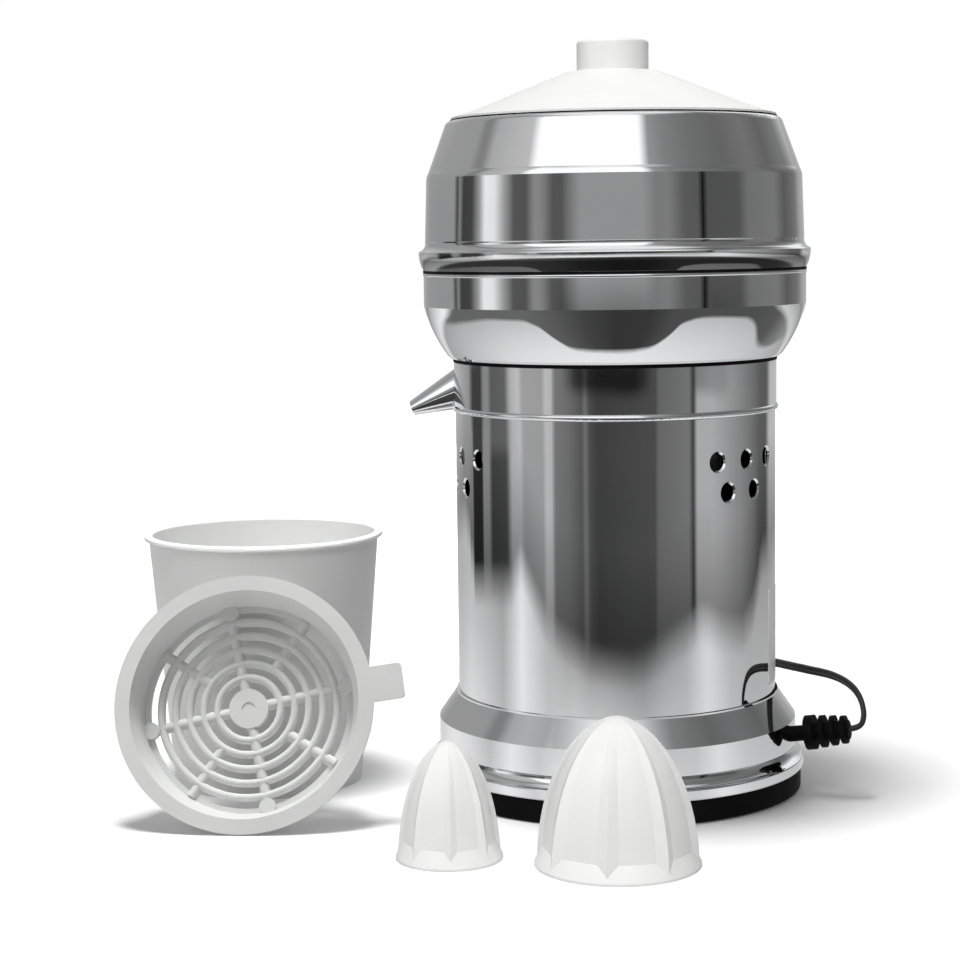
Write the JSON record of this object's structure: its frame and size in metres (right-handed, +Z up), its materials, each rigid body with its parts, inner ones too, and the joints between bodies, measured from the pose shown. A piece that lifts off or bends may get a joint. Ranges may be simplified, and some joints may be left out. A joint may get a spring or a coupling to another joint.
{
  "type": "citrus juicer",
  "caption": "Upright electric citrus juicer with a polished tube body, lift-off bowl, dome and lid, a spout, loose reamers, a cup and a sieve.",
  "frame": {"origin": "centre of the foot ring's underside, on the shaft's axis", "axes": "+Z up along the shaft, the spout points to -X, the front faces -Y"},
  "size_m": [0.3758, 0.4074, 0.3845],
  "materials": {
    "polished_metal": "spun sheet polished to a mirror",
    "plated_steel": "zinc plated",
    "ground_steel": "ground",
    "core_steel": "stacked sheets",
    "cast_alloy": "as cast",
    "copper": "varnished winding",
    "brass": "turned",
    "rubber": "matt",
    "cord_jacket": "smooth",
    "dark_plastic": "moulded",
    "white_plastic": "moulded, glossy",
    "pale_plastic": "moulded, satin",
    "reamer_plastic": "moulded, satin"
  },
  "bodies": {
    "machine": {"foot_ring": "rubber", "base_skirt": "polished_metal", "bottom_plate": "plated_steel", "bottom_screws": "plated_steel", "body_tube": "polished_metal", "deck_plate": "cast_alloy", "shaft_seal": "rubber", "upper_bracket": "cast_alloy", "lower_bracket": "cast_alloy", "upper_bearing": "ground_steel", "lower_bearing": "ground_steel", "stator_core": "core_steel", "stator_windings": "copper", "motor_bolts": "plated_steel", "capacitor": "cast_alloy", "capacitor_clip": "plated_steel", "terminal_block": "white_plastic", "inner_lead": "cord_jacket", "switch_housing": "dark_plastic", "cord_boot": "rubber", "cord_lead": "cord_jacket", "cord_coil": "cord_jacket", "cord_tail": "cord_jacket", "cord_tie": "dark_plastic", "plug_body": "cord_jacket", "plug_pins": "brass"},
    "rotor": {"motor_shaft": "ground_steel", "drive_pin": "ground_steel", "rotor_core": "core_steel", "cooling_fan": "dark_plastic"},
    "rocker": {"switch_rocker": "dark_plastic"},
    "bowl": {"bowl_shell": "polished_metal", "bowl_floor": "polished_metal", "bowl_chimney": "polished_metal", "spout": "polished_metal"},
    "dome": {"dome_shell": "polished_metal", "dome_guide_ring": "polished_metal"},
    "lid": {"lid": "white_plastic"},
    "cup": {"cup": "pale_plastic", "cup_bead": "pale_plastic"},
    "sieve": {"sieve": "pale_plastic"},
    "large_reamer": {"large_reamer": "reamer_plastic", "large_reamer_bush": "brass"},
    "small_reamer": {"small_reamer": "reamer_plastic", "small_reamer_bush": "brass"}
  },
  "joints": [
    {"name": "rotor_spin", "type": "hinge", "parent": "machine", "child": "rotor", "pos_m": [0, 0, 0.15], "axis": [0, 0, 1], "continuous": true},
    {"name": "switch_rock", "type": "hinge", "parent": "machine", "child": "rocker", "pos_m": [0, 0.081, 0.105], "axis": [-1, 0, 0], "range_deg": [0, 20]},
    {"name": "bowl_lift", "type": "slide", "parent": "machine", "child": "bowl", "axis": [0, 0, 1], "range_m": [0, 0.12]},
    {"name": "dome_lift", "type": "slide", "parent": "bowl", "child": "dome", "axis": [0, 0, 1], "range_m": [0, 0.1]},
    {"name": "lid_lift", "type": "slide", "parent": "dome", "child": "lid", "axis": [0, 0, 1], "range_m": [0, 0.1]},
    {"name": "cup_lift", "type": "slide", "parent": "machine", "child": "cup", "axis": [0, 0, 1], "range_m": [0, 0.15]},
    {"name": "sieve_lift", "type": "slide", "parent": "machine", "child": "sieve", "axis": [0, -0.5, 0.866], "range_m": [0, 0.12]},
    {"name": "large_reamer_lift", "type": "slide", "parent": "machine", "child": "large_reamer", "axis": [0, 0, 1], "range_m": [0, 0.15]},
    {"name": "small_reamer_lift", "type": "slide", "parent": "machine", "child": "small_reamer", "axis": [0, 0, 1], "range_m": [0, 0.15]}
  ]
}
